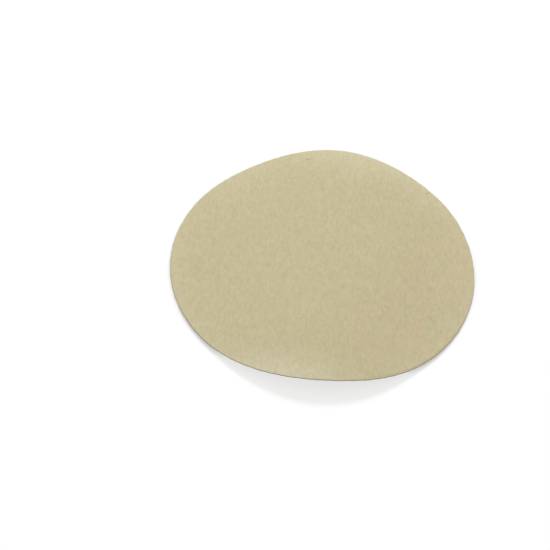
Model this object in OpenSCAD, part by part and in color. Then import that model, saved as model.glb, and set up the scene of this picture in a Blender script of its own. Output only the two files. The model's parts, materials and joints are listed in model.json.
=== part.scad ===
// Filter paper disc: one round sheet of soft unbleached filter paper, cut out of a flat
// web and curled a little since. It lies loose on a flat surface: its left edge and the
// front of its right edge rest on the surface, and a low hump runs between them from back
// to front, so the back and front edges stand clear.
// Millimetres, +Z up, front towards -Y. The origin is the middle of the disc's footprint,
// on the surface that it lies on.

/* [Cut sheet] */
// Diameter that the disc is cut to, measured along the paper
disc_d = 110; // [40:1:240]
// Thickness of the paper
paper_t = 0.35; // [0.2:0.01:1]

/* [Hump] */
// Height of the hump's crest above its two feet
hump_rise = 4.2; // [0:0.1:12]
// Width of the hump from foot to foot
hump_w = 80; // [40:1:240]
// Direction of the hump's crest line, in degrees from +X towards +Y
hump_turn = 86; // [0:1:180]

/* [Right edge] */
// Height that the sheet falls by as it bends down towards its right edge
right_drop = 4.1; // [0:0.1:8]
// Width of the strip that bends, from the edge inwards
right_w = 38; // [10:1:54]
// Direction from the middle of the disc to the middle of the strip, in degrees
right_turn = 342; // [300:1:380]

/* [Back edge] */
// Height that the back edge bends down
back_drop = 1; // [0:0.1:6]
// Width of the strip that bends, from the edge inwards
back_w = 25; // [10:1:54]
// Direction from the middle of the disc to the middle of the strip, in degrees
back_turn = 90; // [50:1:130]

/* [Front edge] */
// Height that the front edge bends down, left of its middle
front_drop = 1; // [0:0.1:6]
// Width of the strip that bends, from the edge inwards
front_w = 16; // [10:1:54]
// Direction from the middle of the disc to the middle of the strip, in degrees
front_turn = 255; // [230:1:310]

/* [Rest] */
// Angle that the whole sheet rises by towards +X once it has come to rest, in degrees
lean_right = 2; // [-3:0.1:3]
// Angle that it rises by towards -Y, in degrees
lean_front = 0.7; // [-3:0.1:3]

/* [Surface] */
// Rings of triangles from the middle to the edge
rings = 20; // [8:1:24]

/* [Hidden] */
paper_color = "#C6BC98";
disc_r = disc_d / 2;
ring_w = disc_r / rings;
// Triangles meet six around the middle, so each ring has this many more points than the last
sectors = 6;
// Half the distance between the two places that a slope is read from
probe = 0.05;

// Distance of a place on the plan from the middle, measured in a direction
function along(p, turn) = p.x * cos(turn) + p.y * sin(turn);

// Height of the hump, which rises from its feet and rounds its crest without a crease
function hump(p) =
    let (s = along(p, hump_turn + 90) / (hump_w / 2))
    abs(s) < 1 ? hump_rise * (1 - s ^ 2) ^ 2 : 0;

// Height that is lost in a strip at the edge, which bends down by drop over its width
function bend(p, turn, width, drop) =
    let (t = (along(p, turn) - disc_r + width) / width)
    t > 0 ? drop * t ^ 2 : 0;

// Height of the middle of the paper over a place on the plan
function height(p) =
    hump(p)
    - bend(p, right_turn, right_w, right_drop)
    - bend(p, back_turn, back_w, back_drop)
    - bend(p, front_turn, front_w, front_drop)
    + p.x * tan(lean_right)
    - p.y * tan(lean_front);

// Slope of the paper towards +X and +Y
function slope(p) = [
    height(p + [probe, 0]) - height(p - [probe, 0]),
    height(p + [0, probe]) - height(p - [0, probe])
] / (2 * probe);

// Distance on the plan that is reached by a walk over the paper from the middle, ring by
// ring in one direction: the paper keeps its length where it climbs or falls
function reach(ring, turn) =
    let (
        heading = [cos(turn), sin(turn)],
        walk = [
            for (i = 0, r = 0; i <= ring; r = r + ring_w * cos(atan(slope(r * heading) * heading)), i = i + 1)
            r
        ]
    )
    walk[ring];

// A point on one face of the paper: side is 1 for the top and -1 for the underside
function face_point(p, side) =
    let (
        s = slope(p),
        up = [-s.x, -s.y, 1]
    )
    [p.x, p.y, height(p)] + up / norm(up) * side * paper_t / 2;

// The places on the plan, ring after ring from the middle
plan = [
    [0, 0],
    for (ring = [1:rings], k = [0:sectors * ring - 1])
    let (turn = k * 360 / (sectors * ring))
    reach(ring, turn) * [cos(turn), sin(turn)]
];
face_points = [for (side = [1, -1], p = plan) face_point(p, side)];

// The footprint's middle and the lowest point, which are moved to the origin
low = [for (axis = [0:2]) min([for (p = face_points) p[axis]])];
high = [for (axis = [0:2]) max([for (p = face_points) p[axis]])];
origin = [(low.x + high.x) / 2, (low.y + high.y) / 2, low.z];

// Number of a ring's k-th place in the plan's list
function place(ring, k) =
    ring == 0 ? 0 : 1 + sectors * ring * (ring - 1) / 2 + k % (sectors * ring);

// Triangles between a ring and the one inside it, for every sector
sheet_faces = [
    for (ring = [1:rings], sector = [0:sectors - 1], k = [0:ring - 1])
    let (
        inner = sector * (ring - 1) + k,
        outer = sector * ring + k
    )
    each [
        [place(ring - 1, inner), place(ring, outer), place(ring, outer + 1)],
        if (k < ring - 1) [place(ring - 1, inner), place(ring, outer + 1), place(ring - 1, inner + 1)]
    ]
];

// Triangles of the cut edge, between the outermost rings of the two faces
under = len(plan);
edge_faces = [
    for (k = [0:sectors * rings - 1])
    let (
        here = place(rings, k),
        next = place(rings, k + 1)
    )
    each [[here, next, under + here], [next, under + next, under + here]]
];

module paper_disc() {
    color(paper_color)
    translate(-origin)
    polyhedron(
        points = face_points,
        faces = [
            for (f = sheet_faces) [f[2], f[1], f[0]],
            for (f = sheet_faces) [under + f[0], under + f[1], under + f[2]],
            for (f = edge_faces) f
        ]
    );
}

paper_disc();
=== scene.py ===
"""Looks of the filter paper disc: the curled sheet as one fine closed mesh with its grain and
its soft cut edge, the finish of the paper, and a plain studio around it."""
import json
import math

import bpy
import numpy as np
from mathutils import Matrix, Vector


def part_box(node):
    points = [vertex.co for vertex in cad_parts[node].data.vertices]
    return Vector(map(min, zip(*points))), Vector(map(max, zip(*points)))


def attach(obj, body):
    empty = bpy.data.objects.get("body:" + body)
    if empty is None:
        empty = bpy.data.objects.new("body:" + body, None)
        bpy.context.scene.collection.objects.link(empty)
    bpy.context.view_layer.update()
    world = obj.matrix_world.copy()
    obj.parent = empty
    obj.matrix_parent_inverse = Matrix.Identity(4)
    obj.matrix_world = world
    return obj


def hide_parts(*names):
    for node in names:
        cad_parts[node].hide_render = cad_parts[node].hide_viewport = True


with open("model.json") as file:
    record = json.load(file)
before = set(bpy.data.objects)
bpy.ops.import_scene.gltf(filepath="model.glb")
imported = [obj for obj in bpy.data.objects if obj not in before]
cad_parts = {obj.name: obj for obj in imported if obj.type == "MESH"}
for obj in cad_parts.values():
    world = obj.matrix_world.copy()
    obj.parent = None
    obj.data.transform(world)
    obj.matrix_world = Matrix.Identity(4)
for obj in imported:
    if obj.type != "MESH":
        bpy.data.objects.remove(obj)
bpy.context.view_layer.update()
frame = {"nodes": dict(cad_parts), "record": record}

# Lengths are in metres
MM = 0.001
NODE = "paper_disc"

# Sheet: cut radius and thickness, as the record states them for the whole underside
SEAT = next(m for m in frame["record"]["mounts"] if m["name"] == "funnel_seat")
SHEET_RADIUS = SEAT["dims"]["r_mm"] * MM
SHEET_THICKNESS = SEAT["dims"]["length_mm"] * MM

# Mesh: rings of triangles that meet six around the middle, each ring with six more points
RINGS = 122
SECTORS = 6

# Surface that is read from the node: the degree of its terms, how upright a triangle's normal
# is at least on a face, how far to each side a slope is read, and the steps of a walk over it
SURFACE_DEGREE = 14
FACE_UPRIGHT = 0.5
SLOPE_STEP = 0.1 * MM
WALK_STEPS = 48

# Cut edge: how far its rounded corners go in, how ragged it is, the size of its notches and the
# share of the radius where they are read, and its section between the two faces, as shares of
# the corner inwards and of half the thickness upwards
EDGE_CORNER = 0.06 * MM
EDGE_RAGGED = 0.035 * MM
EDGE_NOTCH = (0.5 * MM, 0.5 * MM)
EDGE_READ_AT = 0.98
EDGE_PROFILE = ((0.3, 0.8), (0.0, 0.35), (0.0, -0.35), (0.3, -0.8))

# Relief: wide, faint cockles, and the streaks of the grain, which run along Y, both read from
# a square of random numbers
COCKLE_HEIGHT = 0.045 * MM
COCKLE_SIZE = (9 * MM, 12 * MM)
GRAIN_HEIGHT = 0.008 * MM
GRAIN_SIZE = (0.5 * MM, 1.0 * MM)
FIELD_POINTS = 640
FIELD_SIDE = 128 * MM
SEED = 11

# Shader places: the way from one noise to the next in space, and a size too large to matter
SEED_STEP = 20 * MM
FAR = 1000.0

# Camera: looks down at the sheet from the front, turned a little about its own axis
CAMERA_TARGET = Vector((-16.8, -5.0, 0.0)) * MM
CAMERA_DISTANCE = 0.62
CAMERA_ELEVATION = math.radians(49.5)
CAMERA_ROLL = math.radians(4.8)
CAMERA_LENS = 113.6
CAMERA_NEAR = 0.01

# Noises of the paper: the size of their bumps across and along the grain, their detail where it
# isn't the usual one, and a seed each
STREAKS = {"size": (0.95 * MM, 2.4 * MM), "seed": 1}
CLOUDS = {"size": (3 * MM, 4 * MM), "seed": 2}
BLUSH = {"size": (3 * MM, 4.5 * MM), "detail": 4.0, "seed": 3}
FINE = {"size": (0.2 * MM, 0.3 * MM), "seed": 4}
SPECKS = {"size": (0.5 * MM, 1.0 * MM), "detail": 0.0, "seed": 9}
TORN_ENDS = {"size": (0.12 * MM, 0.1 * MM), "detail": 3.0}
GRAIN_TURN = math.radians(1)

# Levels of a noise from 0 to 1 between which it takes effect
WIDE_LEVELS = (0.2, 0.8)
MIDDLE_LEVELS = (0.3, 0.7)
BLOTCH_LEVELS = (0.42, 0.66)
LIGHT_SPECK_LEVELS = (0.64, 0.76)
DARK_SPECK_LEVELS = (0.36, 0.24)

# Fibres: they follow the middle level of a winding noise, in three directions. How far from that
# level they are full and where they end, and a second noise that cuts them short
FIBRE_TURNS = (0.0, 0.2, 1.5)
FIBRE_SIZE = (0.7 * MM, 2.6 * MM)
FIBRE_DETAIL = 1.0
FIBRE_BEND = 0.6
FIBRE_LEVEL = 0.5
FIBRE_CORE = 0.008
FIBRE_EDGE = 0.024
STRETCH_SIZE = (1.3 * MM, 1.8 * MM)
STRETCH_LEVELS = (0.5, 0.6)
STRETCH_SEED = 5
LIGHT_FIBRE_SEED = 10
DARK_FIBRE_SEED = 20

# Shading: how strongly each part of the grain lightens and darkens the paper, and the share of
# that in red, green and blue
CLOUD_SHADE = 0.024
STREAK_SHADE = 0.079
FINE_SHADE = 0.012
FIBRE_SHADE = 0.065
SPECK_SHADE = 0.03
SHADE_TINT = (0.92, 1.01, 1.23)

# Surface of the faces: the depth of the streaks, the shares of it that the fine grain and the
# fibres have, how rough the paper is and how glossy
FACE_RELIEF_DEPTH = 0.12 * MM
FINE_RELIEF = 0.25
FIBRE_RELIEF = 0.12
FACE_ROUGHNESS = (0.86, 0.96)
FACE_GLOSS = 0.2

# Surface of the cut edge: the depth of its torn ends and their strength, how rough it is and
# how glossy
EDGE_RELIEF_DEPTH = 0.05 * MM
EDGE_RELIEF = 0.8
EDGE_ROUGHNESS = (0.9, 1.0)
EDGE_GLOSS = 0.1

# Colours, in levels from 0 to 255, and plain white for the nodes
PAPER_TAN = (197, 187.7, 150.6)
PAPER_ROSY = (202, 185.8, 152)
# Colour of the painted sheen
SHEEN_PALE = (209, 200, 168)
# Cut edge: its own brown, darkened further with painted shade
CUT_DARK = (116, 100, 76)
CUT_LIGHT = (160, 142, 110)
FLECK_BROWN = (160, 145, 102)
WHITE = (1.0, 1.0, 1.0, 1.0)

# Soft patches, alike on both faces, each with its place from the middle, its half sizes and its
# share: painted sheen that makes the paper paler, rosy blotches in the paper, and painted shade
# Painted sheen: a pale veil of light near the rims
SHEEN_PATCHES = (
    (-16 * MM, -57 * MM, 32 * MM, 20 * MM, 1.1),
    (17 * MM, 58 * MM, 44 * MM, 26 * MM, 0.6),
    (-34 * MM, 38 * MM, 30 * MM, 24 * MM, 0.15),
    (46 * MM, 42 * MM, 23 * MM, 20 * MM, 0.4),
)
ROSY_PATCHES = (
    (44 * MM, -4 * MM, 26 * MM, 34 * MM, 0.9),
    (30 * MM, -31 * MM, 32 * MM, 26 * MM, 0.85),
)
# Painted shade: darker patches
PAINTED_SHADE_PATCHES = (
    (33 * MM, 4 * MM, 10 * MM, 28 * MM, 0.02),
    (27 * MM, -22 * MM, 18 * MM, 14 * MM, 0.015),
    (6 * MM, -37 * MM, 30 * MM, 11 * MM, 0.025),
    (22 * MM, -50 * MM, 14 * MM, 10 * MM, 0.04),
)

# Share of the rosy colour outside its blotches, at most
ROSY_GROUND = 0.3

# Rim, with painted sheen that makes it a little paler and lighter all round
RIM_WIDTH = 11 * MM
RIM_SHEEN_SHARE = 0.25
RIM_SHEEN_LIGHT = 0.02

# Narrow strip of the rim with painted shade, where the edge curls down away from the light: how
# far in from the edge it starts and where it is darkest, and the patch of the sheet where it shows
RIM_SHADE_FROM = 1.5 * MM
RIM_SHADE_FULL = 0.7 * MM
RIM_SHADE_PATCHES = (
    (42 * MM, -36 * MM, 46 * MM, 46 * MM, 0.105),
)

# Flecks in the paper and the painted shade of a tiny crease, each with its place from the middle,
# its length, width, turn and share, and the shares of its size where it is full and where it ends
FLECK_CORE = 0.2
FLECK_EDGE = 0.55
FLECKS = (
    (-7.9 * MM, 49.4 * MM, 2.4 * MM, 0.8 * MM, -0.35, 0.55),
    # A tiny crease: its dark is painted shade
    (37.1 * MM, 38.3 * MM, 3.2 * MM, 0.7 * MM, 0.6, 0.38),
    (39.1 * MM, -21.1 * MM, 4.2 * MM, 1.5 * MM, -0.74, 0.2),
)

# Light: a lamp behind the sheet, a little to the left, its power in watts, and an even sky
LAMP_DIRECTION = Vector((-0.08, 0.85, 1.0))
LAMP_DISTANCE = 1.4
LAMP_SIDE = 0.35
LAMP_POWER = 10.15
SKY_STRENGTH = 0.6

# Floor: its side, how white it is for light and for the camera, how far it is lifted for the
# camera, the distances from the middle between which the lift becomes full, and the brown where
# the paper all but touches it
FLOOR_SIDE = 6.0
FLOOR_WHITE = 0.8
FLOOR_SEEN = 0.35
FLOOR_LIFT = 0.68
FLOOR_FADE = (0.25, 1.0)
CONTACT_BROWN = (118, 102, 78)
CONTACT_REACH = 2 * MM
CONTACT_SAMPLES = 8


def face_vertices(mesh, side):
    """The vertices of the face that looks up, where side is 1, or down, where it is -1."""
    keep = {v for p in mesh.polygons if p.normal.z * side > FACE_UPRIGHT for v in p.vertices}
    return np.array([mesh.vertices[v].co for v in sorted(keep)], float)


def powers(x, y):
    """Columns of a smooth surface's terms at places of the plan, in units of the radius."""
    basis = np.polynomial.chebyshev.chebvander2d(
        x / SHEET_RADIUS, y / SHEET_RADIUS, (SURFACE_DEGREE, SURFACE_DEGREE)
    )
    degree = np.arange(SURFACE_DEGREE + 1)
    low = np.add.outer(degree, degree) <= SURFACE_DEGREE
    return basis[..., low.ravel()]


def smooth_surface(points):
    """Terms of the smooth surface through points."""
    terms, *_ = np.linalg.lstsq(powers(points[:, 0], points[:, 1]), points[:, 2], rcond=None)
    return terms


def middle_surface():
    """Terms of the middle of the paper, between the node's two faces."""
    mesh = frame["nodes"][NODE].data
    top, under = (smooth_surface(face_vertices(mesh, side)) for side in (1, -1))
    return (top + under) / 2


def height(terms, x, y):
    """The surface's height at places of the plan."""
    return powers(x, y) @ terms


def slopes(terms, x, y, step=SLOPE_STEP):
    """The surface's slopes towards +X and +Y."""
    return (
        (height(terms, x + step, y) - height(terms, x - step, y)) / (2 * step),
        (height(terms, x, y + step) - height(terms, x, y - step)) / (2 * step),
    )


def walk_out(terms, distance, turn):
    """Plan radius that a walk over the paper from its middle reaches: the paper keeps its length."""
    radius = np.zeros_like(distance)
    for _ in range(WALK_STEPS):
        across, along = slopes(terms, radius * np.cos(turn), radius * np.sin(turn))
        climb = across * np.cos(turn) + along * np.sin(turn)
        radius += distance / WALK_STEPS / np.sqrt(1 + climb**2)
    return radius


def noise_field(rng, size):
    """A smooth random field with a spread of 1, whose bumps have the given size in X and Y."""
    wave = np.fft.fftfreq(FIELD_POINTS, FIELD_SIDE / FIELD_POINTS) * 2 * math.pi
    reach = (wave[:, None] * size[0]) ** 2 + (wave[None, :] * size[1]) ** 2
    spectrum = np.fft.fft2(rng.standard_normal((FIELD_POINTS, FIELD_POINTS)))
    field = np.fft.ifft2(spectrum * np.exp(-reach / 2)).real
    return (field - field.mean()) / field.std()


def sample(field, x, y):
    """The field at places of the plan, between its points."""
    u, v = ((c / FIELD_SIDE + 0.5) * (FIELD_POINTS - 1) for c in (x, y))
    i, j = (np.floor(c).astype(int) for c in (u, v))
    u, v = u - i, v - j
    return (
        field[i, j] * (1 - u) * (1 - v)
        + field[i + 1, j] * u * (1 - v)
        + field[i, j + 1] * (1 - u) * v
        + field[i + 1, j + 1] * u * v
    )


def ring_points():
    """Distance from the middle, as a share, and direction of each point of a face, ring by ring."""
    rings = range(1, RINGS + 1)
    ring = np.concatenate([[0]] + [np.full(SECTORS * r, r) for r in rings])
    turn = np.concatenate([[0.0]] + [np.arange(SECTORS * r) * 2 * math.pi / (SECTORS * r) for r in rings])
    return ring / RINGS, turn


def place(ring, k):
    """Number of a ring's k-th point. The middle is ring 0, which has one point."""
    if ring == 0:
        return np.zeros_like(k)
    return 1 + SECTORS * ring * (ring - 1) // 2 + k % (SECTORS * ring)


def ring_triangles():
    """Triangles of one face, seen from above."""
    triangles = []
    for ring in range(1, RINGS + 1):
        sector, k = (g.ravel() for g in np.meshgrid(np.arange(SECTORS), np.arange(ring), indexing="ij"))
        inner, outer = sector * (ring - 1) + k, sector * ring + k
        triangles.append(
            np.stack([place(ring - 1, inner), place(ring, outer), place(ring, outer + 1)], axis=1)
        )
        more = k < ring - 1
        inner, outer = inner[more], outer[more]
        triangles.append(
            np.stack([place(ring - 1, inner), place(ring, outer + 1), place(ring - 1, inner + 1)], axis=1)
        )
    return np.concatenate(triangles)


def edge_triangles(starts, count):
    """Triangles of the strips between closed rows of count points each, from the top face down."""
    here = np.arange(count)
    after = (here + 1) % count
    strips = []
    for upper, lower in zip(starts, starts[1:]):
        strips.append(np.stack([upper + here, lower + here, upper + after], axis=1))
        strips.append(np.stack([upper + after, lower + here, lower + after], axis=1))
    return np.concatenate(strips)


def cut_radius(rng, turn):
    """Radius of the flat sheet's faces in each direction: slightly ragged, inside the corners."""
    ragged = noise_field(rng, EDGE_NOTCH) * EDGE_RAGGED
    rim = SHEET_RADIUS * EDGE_READ_AT
    return SHEET_RADIUS + sample(ragged, rim * np.cos(turn), rim * np.sin(turn)) - EDGE_CORNER


def unit(vectors):
    """The vectors at a length of 1."""
    return vectors / np.linalg.norm(vectors, axis=1)[:, None]


def edge_rows(top, under, outward):
    """Rows of points around the cut edge, from below the top face's rim down."""
    core, lift = (top + under) / 2, (top - under) / 2
    return [core + lift * up + outward * (1 - inward) * EDGE_CORNER for inward, up in EDGE_PROFILE]


def sheet_mesh():
    """Points and triangles of the whole sheet, and how many triangles are on its two faces."""
    rng = np.random.default_rng(SEED)
    terms = middle_surface()
    share, turn = ring_points()
    cockle = noise_field(rng, COCKLE_SIZE) * COCKLE_HEIGHT
    grain = [noise_field(rng, GRAIN_SIZE) * GRAIN_HEIGHT for _ in range(2)]

    radius = walk_out(terms, share * cut_radius(rng, turn), turn)
    x, y = radius * np.cos(turn), radius * np.sin(turn)
    across, along = slopes(terms, x, y)
    climb = across * np.cos(turn) + along * np.sin(turn)
    middle = np.stack([x, y, height(terms, x, y) + sample(cockle, x, y)], axis=1)
    normal = unit(np.stack([-across, -along, np.ones_like(x)], axis=1))
    outward = unit(np.stack([np.cos(turn), np.sin(turn), climb], axis=1))
    half = SHEET_THICKNESS / 2
    top, under = (
        middle + normal * (side * half + sample(field, x, y))[:, None]
        for side, field in zip((1, -1), grain)
    )

    count = SECTORS * RINGS
    rows = edge_rows(top[-count:], under[-count:], outward[-count:])
    face = ring_triangles()
    points = np.concatenate([top, under] + rows)
    first_row = 2 * len(top)
    starts = [len(top) - count] + [first_row + i * count for i in range(len(rows))] + [first_row - count]
    triangles = np.concatenate([face, face[:, ::-1] + len(top), edge_triangles(starts, count)])
    return settle(points), triangles, 2 * len(face)


def settle(points):
    """Moves the sheet so that its footprint's middle and its lowest point are those of the CAD node."""
    low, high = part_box(NODE)
    mine_low, mine_high = points.min(axis=0), points.max(axis=0)
    shift = [(low[i] + high[i] - mine_low[i] - mine_high[i]) / 2 for i in range(2)]
    return points + np.array(shift + [low.z - mine_low[2]])


def new_object(name, points, faces, *materials):
    mesh = bpy.data.meshes.new(name)
    mesh.from_pydata(points.tolist(), [], faces.tolist())
    mesh.shade_smooth()
    for material in materials:
        mesh.materials.append(material)
    obj = bpy.data.objects.new(name, mesh)
    bpy.context.scene.collection.objects.link(obj)
    return obj


class Nodes:
    """Short ways to add and link the nodes of one material or world."""

    def __init__(self, tree):
        self.tree = tree
        tree.nodes.clear()

    def add(self, kind, inputs=None, **settings):
        node = self.tree.nodes.new(kind)
        for name, value in settings.items():
            setattr(node, name, value)
        for name, value in (inputs or {}).items():
            if isinstance(value, bpy.types.NodeSocket):
                self.tree.links.new(value, node.inputs[name])
            else:
                node.inputs[name].default_value = value
        return node

    def math(self, operation, a, b=0.0, c=0.0):
        return self.add("ShaderNodeMath", {0: a, 1: b, 2: c}, operation=operation).outputs[0]

    def vector(self, operation, a, b, c=(0.0, 0.0, 0.0)):
        return self.add("ShaderNodeVectorMath", {0: a, 1: b, 2: c}, operation=operation).outputs[0]

    def total(self, *parts):
        found = 0.0
        for part in parts:
            found = self.math("ADD", part, found)
        return found

    def ramp(self, value, low, high, low_to=0.0, high_to=1.0, curve="LINEAR"):
        """value mapped from low..high to low_to..high_to, held beyond."""
        inputs = {"Value": value, "From Min": low, "From Max": high, "To Min": low_to, "To Max": high_to}
        return self.add("ShaderNodeMapRange", inputs, interpolation_type=curve).outputs["Result"]

    def placed(self, size, start=(0.0, 0.0, 0.0), turn=0.0):
        """Coordinates of the object from a start, along axes turned about Z, in units of size."""
        own = self.add("ShaderNodeTexCoord").outputs["Object"]
        inputs = {"Vector": own, "Location": start, "Rotation": (0.0, 0.0, turn), "Scale": size}
        return self.add("ShaderNodeMapping", inputs, vector_type="TEXTURE").outputs[0]

    def away(self, size, start=(0.0, 0.0, 0.0), turn=0.0):
        """Distance on the plan from a start, in units of size."""
        own = self.placed((*size, FAR), start, turn)
        return self.add("ShaderNodeVectorMath", {0: own}, operation="LENGTH").outputs["Value"]

    def noise(self, size, detail=2.0, seed=0, turn=GRAIN_TURN, distortion=0.0):
        """Noise from 0 to 1 whose bumps have the given size across and along the turned Y."""
        inputs = {
            "Vector": self.placed((*size, size[-1]), (seed * SEED_STEP, 0.0, 0.0), turn),
            "Scale": 1.0,
            "Detail": detail,
            "Distortion": distortion,
        }
        return self.add("ShaderNodeTexNoise", inputs).outputs["Fac"]

    def blend(self, share, first, second):
        """The first colour where share is 0, the second where it is 1."""
        inputs = {"Factor": share, "A": first, "B": second}
        node = self.tree.nodes.new("ShaderNodeMix")
        node.data_type = "RGBA"
        for name, value in inputs.items():
            socket = next(s for s in node.inputs if s.name == name and s.enabled)
            if isinstance(value, bpy.types.NodeSocket):
                self.tree.links.new(value, socket)
            else:
                socket.default_value = value
        return next(s for s in node.outputs if s.enabled)


def linear(red, green, blue):
    """A colour in sRGB levels from 0 to 255 as a linear one from 0 to 1, opaque."""
    return tuple(((c / 255 + 0.055) / 1.055) ** 2.4 for c in (red, green, blue)) + (1.0,)


def new_material(name):
    """An empty material, and the way to add its nodes."""
    material = bpy.data.materials.new(name)
    material.use_nodes = True
    return material, Nodes(material.node_tree)


def fibres(n, seed):
    """Loose fibres: short, thin, curved lines in three directions, 1 on a fibre and 0 beside it."""
    found = 0.0
    for index, turn in enumerate(FIBRE_TURNS):
        winding = n.noise(FIBRE_SIZE, FIBRE_DETAIL, seed + index, GRAIN_TURN + turn, FIBRE_BEND)
        beside = n.math("ABSOLUTE", n.math("SUBTRACT", winding, FIBRE_LEVEL))
        stretch = n.ramp(n.noise(STRETCH_SIZE, 0.0, seed + index + STRETCH_SEED), *STRETCH_LEVELS)
        fibre = n.math("MULTIPLY", n.ramp(beside, FIBRE_CORE, FIBRE_EDGE, 1.0, 0.0), stretch)
        found = n.math("MAXIMUM", fibre, found)
    return found


def specks(n):
    """Small specks in the pulp: up to 1 on a light one, down to -1 on a dark one."""
    grains = n.noise(**SPECKS)
    light, dark = n.ramp(grains, *LIGHT_SPECK_LEVELS), n.ramp(grains, *DARK_SPECK_LEVELS)
    return n.math("SUBTRACT", light, dark)


def flecks(n):
    """The dark flecks, one of them a tiny crease's painted shade: a fleck's share on it and 0
    beside it.
    """
    found = 0.0
    for x, y, length, width, turn, share in FLECKS:
        away = n.away((length, width), (x, y, 0.0), turn)
        found = n.math("MAXIMUM", n.ramp(away, FLECK_CORE, FLECK_EDGE, share, 0.0), found)
    return found


def patches(n, entries):
    """Sum of soft patches, each with its place from the middle, its half sizes and its share."""
    return n.total(*(
        n.ramp(n.away((half_x, half_y), (x, y, 0.0)), 0.0, 1.0, share, 0.0, "SMOOTHSTEP")
        for x, y, half_x, half_y, share in entries
    ))


def paper_tint(n, rim):
    """The paper's colour without its grain: tan, rosy in blotches, and paler with painted sheen
    in patches and at the rim.
    """
    blush = n.noise(**BLUSH)
    blotch = n.math("MULTIPLY", n.ramp(blush, *BLOTCH_LEVELS), patches(n, ROSY_PATCHES))
    rosy = n.math("ADD", blotch, n.ramp(blush, *WIDE_LEVELS, 0.0, ROSY_GROUND))
    # Painted sheen: paler at the rim and in patches
    sheen = n.math("MULTIPLY_ADD", n.math("POWER", rim, 2.0), RIM_SHEEN_SHARE, patches(n, SHEEN_PATCHES))
    tint = n.blend(rosy, linear(*PAPER_TAN), linear(*PAPER_ROSY))
    return n.blend(sheen, tint, linear(*SHEEN_PALE))


def paper_material():
    """Soft unbleached paper: warm tan with cloudy pulp, streaks of grain, fibres and specks, with
    painted shade and painted sheen in patches and along the rim.
    """
    material, n = new_material("unbleached_paper")
    cloud, streak, fine = n.noise(**CLOUDS), n.noise(**STREAKS), n.noise(**FINE)
    light_fibre, dark_fibre = fibres(n, LIGHT_FIBRE_SEED), fibres(n, DARK_FIBRE_SEED)
    out = n.away((1.0, 1.0))
    rim = n.ramp(out, SHEET_RADIUS - RIM_WIDTH, SHEET_RADIUS)
    # Painted shade in a narrow strip along the rim, where its patch lies
    strip = n.ramp(out, SHEET_RADIUS - RIM_SHADE_FROM, SHEET_RADIUS - RIM_SHADE_FULL)
    rim_shade = n.math("MULTIPLY", strip, patches(n, RIM_SHADE_PATCHES))

    shade = n.total(
        n.ramp(cloud, *WIDE_LEVELS, -CLOUD_SHADE, CLOUD_SHADE),
        n.ramp(streak, *WIDE_LEVELS, -STREAK_SHADE, STREAK_SHADE),
        n.ramp(fine, *WIDE_LEVELS, -FINE_SHADE, FINE_SHADE),
        n.math("MULTIPLY", light_fibre, FIBRE_SHADE),
        n.math("MULTIPLY", dark_fibre, -FIBRE_SHADE),
        n.math("MULTIPLY", specks(n), SPECK_SHADE),
        # Painted sheen: lighter at the rim
        n.math("MULTIPLY", rim, RIM_SHEEN_LIGHT),
        # Painted shade in patches
        n.math("MULTIPLY", patches(n, PAINTED_SHADE_PATCHES), -1.0),
        # Painted shade along the rim
        n.math("MULTIPLY", rim_shade, -1.0),
    )
    level = n.vector("MULTIPLY_ADD", shade, SHADE_TINT, (1.0, 1.0, 1.0))
    grained = n.vector("MULTIPLY", paper_tint(n, rim), level)
    colour = n.blend(flecks(n), grained, linear(*FLECK_BROWN))

    relief = n.math("MULTIPLY_ADD", fine, FINE_RELIEF, streak)
    relief = n.math("MULTIPLY_ADD", light_fibre, FIBRE_RELIEF, relief)
    bump = n.add("ShaderNodeBump", {"Height": relief, "Strength": 1.0, "Distance": FACE_RELIEF_DEPTH})
    surface = n.add(
        "ShaderNodeBsdfPrincipled",
        {
            "Base Color": colour,
            "Roughness": n.ramp(fine, *MIDDLE_LEVELS, *FACE_ROUGHNESS),
            "Specular IOR Level": FACE_GLOSS,
            "Normal": bump.outputs[0],
        },
    )
    n.add("ShaderNodeOutputMaterial", {"Surface": surface.outputs[0]})
    return material


def edge_material():
    """The cut edge: browner than the faces, with the torn ends of the fibres, and darkened further
    with painted shade.
    """
    material, n = new_material("cut_edge")
    ends = n.noise(**TORN_ENDS)
    colour = n.blend(n.ramp(ends, *MIDDLE_LEVELS), linear(*CUT_DARK), linear(*CUT_LIGHT))
    relief = {"Height": ends, "Strength": EDGE_RELIEF, "Distance": EDGE_RELIEF_DEPTH}
    bump = n.add("ShaderNodeBump", relief)
    surface = n.add(
        "ShaderNodeBsdfPrincipled",
        {
            "Base Color": colour,
            "Roughness": n.ramp(ends, *MIDDLE_LEVELS, *EDGE_ROUGHNESS),
            "Specular IOR Level": EDGE_GLOSS,
            "Normal": bump.outputs[0],
        },
    )
    n.add("ShaderNodeOutputMaterial", {"Surface": surface.outputs[0]})
    return material


def seen_or_mirrored(n):
    """1 for rays that the camera sees, straight or in gloss or glass, and 0 for light."""
    path = n.add("ShaderNodeLightPath")
    seen = n.math("MAXIMUM", path.outputs["Is Camera Ray"], path.outputs["Is Glossy Ray"])
    return n.math("MAXIMUM", seen, path.outputs["Is Transmission Ray"])


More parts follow.
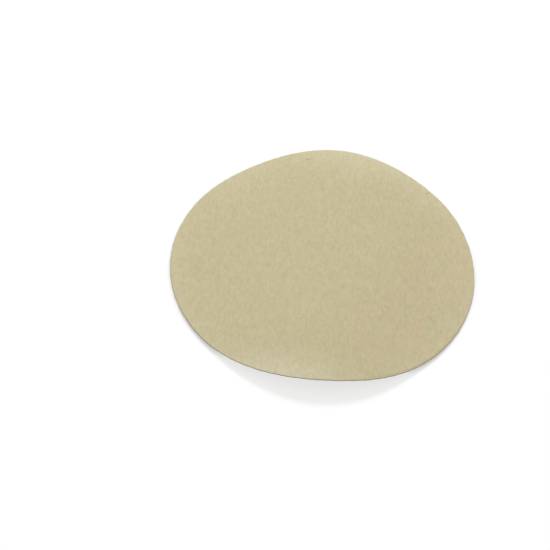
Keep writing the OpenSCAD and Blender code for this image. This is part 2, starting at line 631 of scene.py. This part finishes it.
def floor_material():
    """White, lifted for the camera so that it is just white in full light and keeps a light
    shadow, which is brown and dark only where the paper all but touches the floor. Far away it
    is lifted more, so that no horizon shows."""
    material, n = new_material("floor_white")
    seen = seen_or_mirrored(n)
    grey = n.ramp(seen, 0.0, 1.0, FLOOR_WHITE, FLOOR_SEEN)
    diffuse = n.add("ShaderNodeBsdfDiffuse", {"Color": grey})
    near = n.add("ShaderNodeAmbientOcclusion", {"Distance": CONTACT_REACH}, samples=CONTACT_SAMPLES)
    tint = n.blend(near.outputs["AO"], linear(*CONTACT_BROWN), WHITE)
    lift = n.ramp(n.away((1.0, 1.0)), *FLOOR_FADE, FLOOR_LIFT, 1.0)
    glow = n.add("ShaderNodeEmission", {"Color": tint, "Strength": n.math("MULTIPLY", seen, lift)})
    both = n.add("ShaderNodeAddShader", {0: diffuse.outputs[0], 1: glow.outputs[0]})
    n.add("ShaderNodeOutputMaterial", {"Surface": both.outputs[0]})
    return material


def make_floor():
    half = FLOOR_SIDE / 2
    corners = np.array([(-half, -half, 0.0), (half, -half, 0.0), (half, half, 0.0), (-half, half, 0.0)])
    floor = new_object("floor", corners, np.array([(0, 1, 2, 3)]), floor_material())


def make_light():
    light = bpy.data.lights.new("lamp", "AREA")
    light.energy = LAMP_POWER
    light.shape = "SQUARE"
    light.size = LAMP_SIDE
    lamp = bpy.data.objects.new("lamp", light)
    lamp.location = LAMP_DIRECTION.normalized() * LAMP_DISTANCE
    lamp.rotation_euler = LAMP_DIRECTION.to_track_quat("Z", "Y").to_euler()
    bpy.context.scene.collection.objects.link(lamp)

    world = bpy.data.worlds.new("sky")
    world.use_nodes = True
    n = Nodes(world.node_tree)
    strength = n.ramp(seen_or_mirrored(n), 0.0, 1.0, SKY_STRENGTH, 1.0)
    sky = n.add("ShaderNodeBackground", {"Color": WHITE, "Strength": strength})
    n.add("ShaderNodeOutputWorld", {"Surface": sky.outputs[0]})
    bpy.context.scene.world = world


def make_camera():
    data = bpy.data.cameras.new("camera")
    data.lens = CAMERA_LENS
    data.clip_start = CAMERA_NEAR
    camera = bpy.data.objects.new("camera", data)
    back = Vector((0.0, -math.cos(CAMERA_ELEVATION), math.sin(CAMERA_ELEVATION)))
    camera.location = CAMERA_TARGET + back * CAMERA_DISTANCE
    aim = back.to_track_quat("Z", "Y").to_matrix()
    camera.rotation_euler = (aim @ Matrix.Rotation(CAMERA_ROLL, 3, "Z")).to_euler()
    bpy.context.scene.collection.objects.link(camera)
    bpy.context.scene.camera = camera


def make_sheet():
    points, triangles, on_faces = sheet_mesh()
    sheet = new_object("filter_sheet", points, triangles, paper_material(), edge_material())
    is_edge = np.arange(len(triangles)) >= on_faces
    sheet.data.polygons.foreach_set("material_index", is_edge.astype(np.int32))
    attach(sheet, "root")
    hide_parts(NODE)


make_camera()
make_light()
make_floor()
make_sheet()
bpy.context.scene.view_settings.view_transform = "Standard"

bpy.context.view_layer.update()
